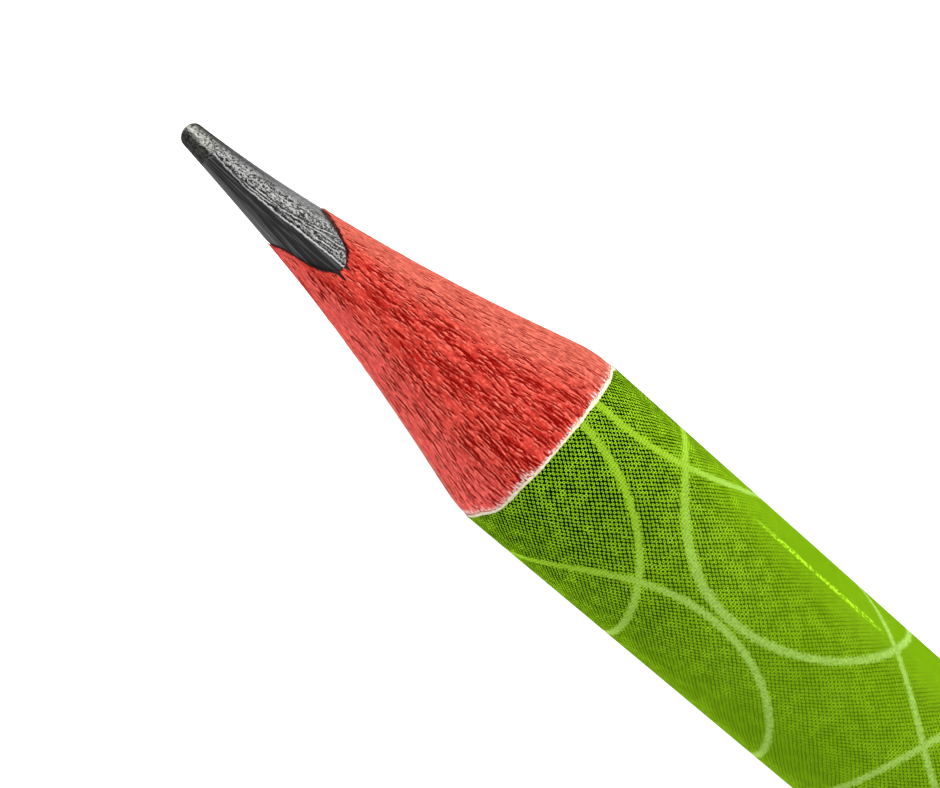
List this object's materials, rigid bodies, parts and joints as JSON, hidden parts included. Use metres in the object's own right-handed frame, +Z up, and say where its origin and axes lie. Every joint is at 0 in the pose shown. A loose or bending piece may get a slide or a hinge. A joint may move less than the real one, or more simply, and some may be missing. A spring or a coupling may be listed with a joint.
{
  "type": "graphite pencil",
  "caption": "Round wood-cased graphite pencil, sharpened to a slender point at one end and cut flat at the other, with a printed film over a pale base coat.",
  "frame": {"origin": "middle of the bounding box's base, under the lying barrel", "axes": "+X along the pencil from the point towards the flat rear end, +Z up, so the barrel lies on the surface"},
  "size_m": [0.175, 0.0072, 0.0073],
  "materials": {
    "graphite": "burnished graphite and clay, with a dull grey sheen",
    "wood_glue": "thin dried wood glue",
    "dyed_wood": "red-dyed bare wood, cut by the sharpener's blade",
    "base_coat": "pale filler coat",
    "printed_film": "printed film with a soft gloss"
  },
  "bodies": {
    "root": {"graphite_core": "graphite", "glue_film": "wood_glue", "slat_upper": "dyed_wood", "slat_lower": "dyed_wood", "base_coat": "base_coat", "printed_film": "printed_film"}
  },
  "joints": []
}
